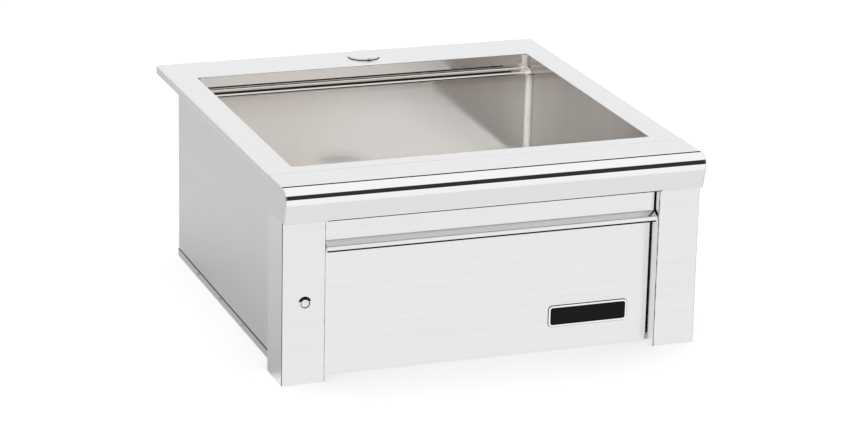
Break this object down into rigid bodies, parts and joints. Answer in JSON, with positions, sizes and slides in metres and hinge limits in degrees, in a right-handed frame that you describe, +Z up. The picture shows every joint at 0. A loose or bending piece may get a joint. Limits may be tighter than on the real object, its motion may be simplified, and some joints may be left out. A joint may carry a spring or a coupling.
{
  "type": "outdoor sink",
  "caption": "Drop-in outdoor sink: steel deck with a deep ledged basin and capped tap hole, rounded front nose on posts, tilt-out access panel with full-width pull, and a push button.",
  "frame": {"origin": "below the middle of the whole sink, on the plane of the bottom pan's underside", "axes": "+Z up, the front with the access panel faces -Y, +X to the right seen from the front"},
  "size_m": [0.762, 0.8245, 0.3555],
  "materials": {
    "deck_steel": "fine straight brushing, satin",
    "frame_steel": "fine straight brushing, satin",
    "side_steel": "fine straight brushing, satin",
    "basin_steel": "drawn, satin to semi-gloss",
    "plain_steel": "plain mill finish",
    "bright_steel": "polished",
    "screw_steel": "plain bright",
    "spring_steel": "plain wire",
    "black_rubber": "matt",
    "pad_rubber": "matt",
    "fibre": "pressed fibre",
    "white_nylon": "plain",
    "black_plastic": "fine grain",
    "magnet_black": "plain",
    "plate_black": "semi-gloss, blank"
  },
  "bodies": {
    "sink": {"back_panel": "side_steel", "basin": "basin_steel", "bottom_pan": "side_steel", "button_bezel": "bright_steel", "button_end_cap": "black_plastic", "button_locknut": "black_plastic", "button_spring": "spring_steel", "cover_gasket": "black_rubber", "cover_wing_nut": "plain_steel", "deck_plate": "deck_steel", "front_crossmember": "plain_steel", "front_nose": "frame_steel", "front_top_strip": "deck_steel", "hinge_bushes": "white_nylon", "magnet_brackets": "plain_steel", "magnet_catches": "magnet_black", "nose_end_cap_left": "frame_steel", "nose_end_cap_right": "frame_steel", "pan_screws": "screw_steel", "post_left": "frame_steel", "post_right": "frame_steel", "post_screws": "screw_steel", "side_panel_left": "side_steel", "side_panel_right": "side_steel", "slip_nut": "black_plastic", "sound_pad_left": "pad_rubber", "sound_pad_right": "pad_rubber", "strainer_body": "bright_steel", "strainer_fibre_washer": "fibre", "strainer_gasket": "black_rubber", "strainer_locknut": "black_plastic", "tail_washer": "black_rubber", "tailpiece": "bright_steel", "tap_hole_backing_plate": "plain_steel", "tap_hole_cover": "bright_steel"},
    "access_panel": {"front_panel": "frame_steel", "front_panel_back_plate": "plain_steel", "pull_rail": "frame_steel", "pull_end_caps": "frame_steel", "hinge_pins": "screw_steel", "strike_plates": "plain_steel", "name_plate_frame": "bright_steel", "name_plate_field": "plate_black"},
    "button": {"push_button": "bright_steel"},
    "basket": {"strainer_basket": "bright_steel", "basket_stopper": "black_rubber", "basket_knob": "bright_steel"}
  },
  "joints": [
    {"name": "panel_tilt", "type": "hinge", "parent": "sink", "child": "access_panel", "pos_m": [0, -0.35875, 0.008], "axis": [1, 0, 0], "range_deg": [0, 75]},
    {"name": "button_press", "type": "slide", "parent": "sink", "child": "button", "axis": [0, 1, 0], "range_m": [0, 0.0035], "stiffness_N_per_m": 600, "springref_m": -0.004, "deforming": ["button_spring"]},
    {"name": "basket_lift", "type": "slide", "parent": "sink", "child": "basket", "axis": [0, 0, 1], "range_m": [0, 0.3]}
  ]
}
